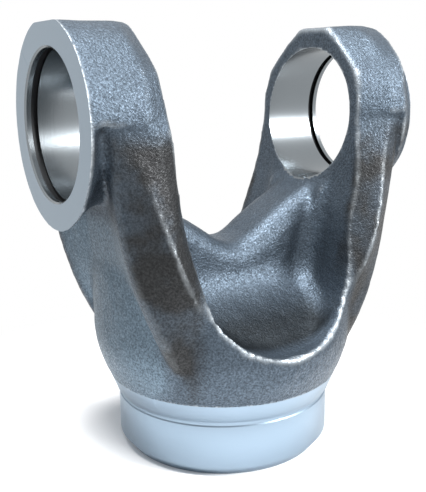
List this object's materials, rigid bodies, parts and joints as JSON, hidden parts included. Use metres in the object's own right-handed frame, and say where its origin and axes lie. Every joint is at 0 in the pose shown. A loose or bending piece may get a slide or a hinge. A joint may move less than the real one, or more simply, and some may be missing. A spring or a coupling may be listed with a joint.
{
  "type": "weld yoke",
  "caption": "Forged universal-joint yoke: bored ears on a rounded web, pockets front and back, and a turned pilot that is welded into the end of a drive shaft's tube.",
  "frame": {"origin": "centre of the pilot's end face, under the yoke", "axes": "+Z along the shaft's axis from the tube towards the cross, +X along the common axis of the two cross bores"},
  "size_m": [0.1256, 0.094, 0.1504],
  "materials": {
    "forging": "dark forged skin with bright machined faces"
  },
  "bodies": {
    "root": {"yoke": "forging"}
  },
  "joints": []
}
